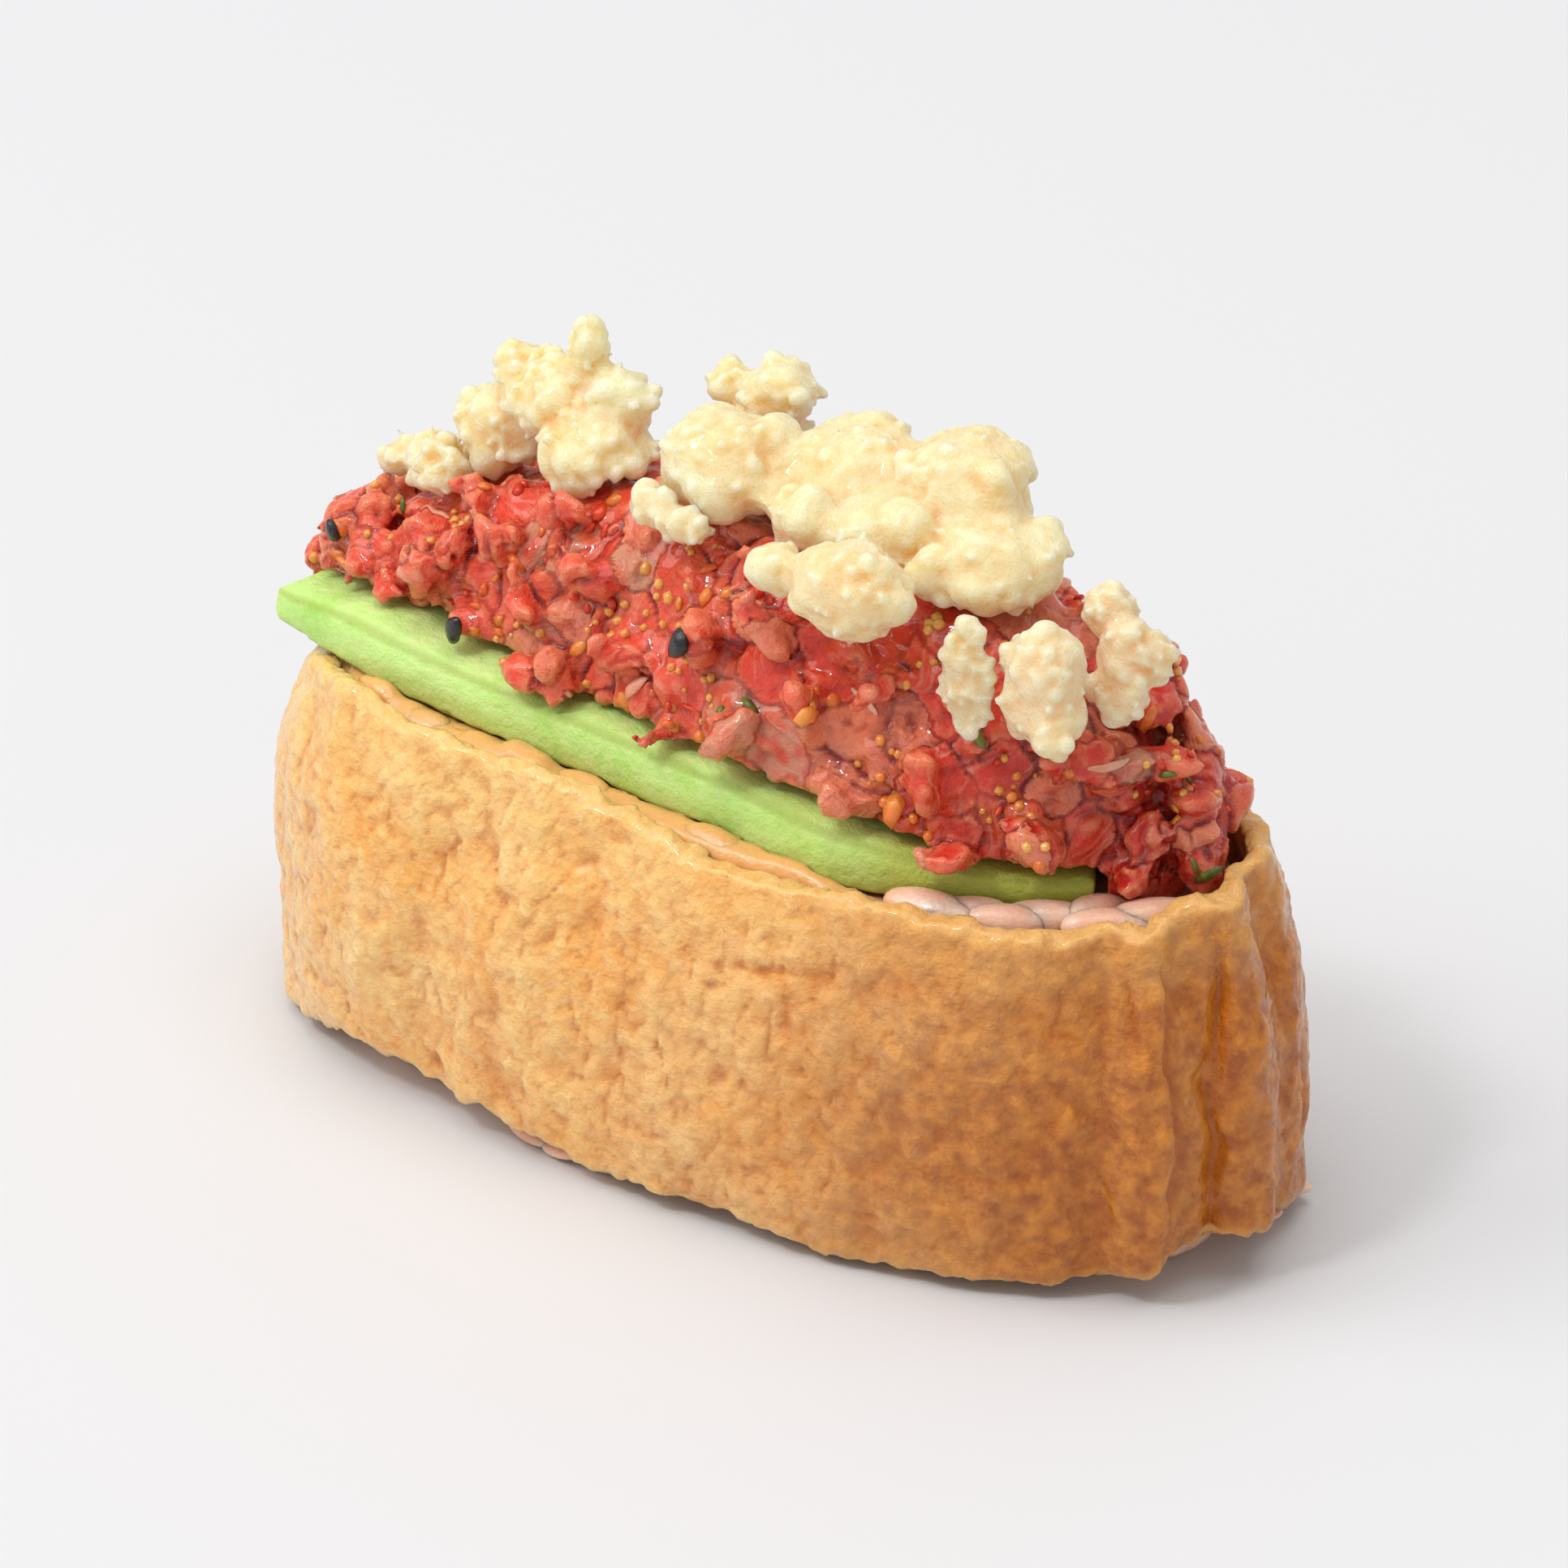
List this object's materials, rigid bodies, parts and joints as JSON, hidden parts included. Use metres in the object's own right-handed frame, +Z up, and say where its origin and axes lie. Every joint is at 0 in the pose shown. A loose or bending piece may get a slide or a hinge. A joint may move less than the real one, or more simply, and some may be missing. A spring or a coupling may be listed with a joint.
{
  "type": "inari sushi",
  "caption": "Open-topped inari sushi: a band of fried tofu filled with rice, topped with an avocado slice, a mound of chopped tuna and puffs of tempura crunch",
  "frame": {"origin": "centre of the bounding box in plan, at the height of the table it rests on", "axes": "+X along the band towards its pleated end, +Y away from the avocado's side, +Z up"},
  "size_m": [0.0798, 0.0366, 0.0524],
  "materials": {
    "fried_tofu": null,
    "rice": "translucent moist grains; matte_plastic stands in for cooked rice",
    "avocado": "smooth matte flesh; matte_plastic stands in for avocado",
    "tuna": "wet and translucent; gloss_plastic stands in for raw chopped fish",
    "crunch": "crisp bubbly fried batter; matte_plastic stands in for it"
  },
  "bodies": {
    "root": {"tofu_band": "fried_tofu", "rice": "rice", "avocado_slice": "avocado", "tuna": "tuna", "crunch_main": "crunch", "crunch_tall": "crunch", "crunch_low": "crunch", "crunch_back": "crunch", "crunch_left": "crunch", "crunch_pale": "crunch", "crunch_flake": "crunch", "crunch_puff": "crunch", "crunch_clear": "crunch"}
  },
  "joints": []
}
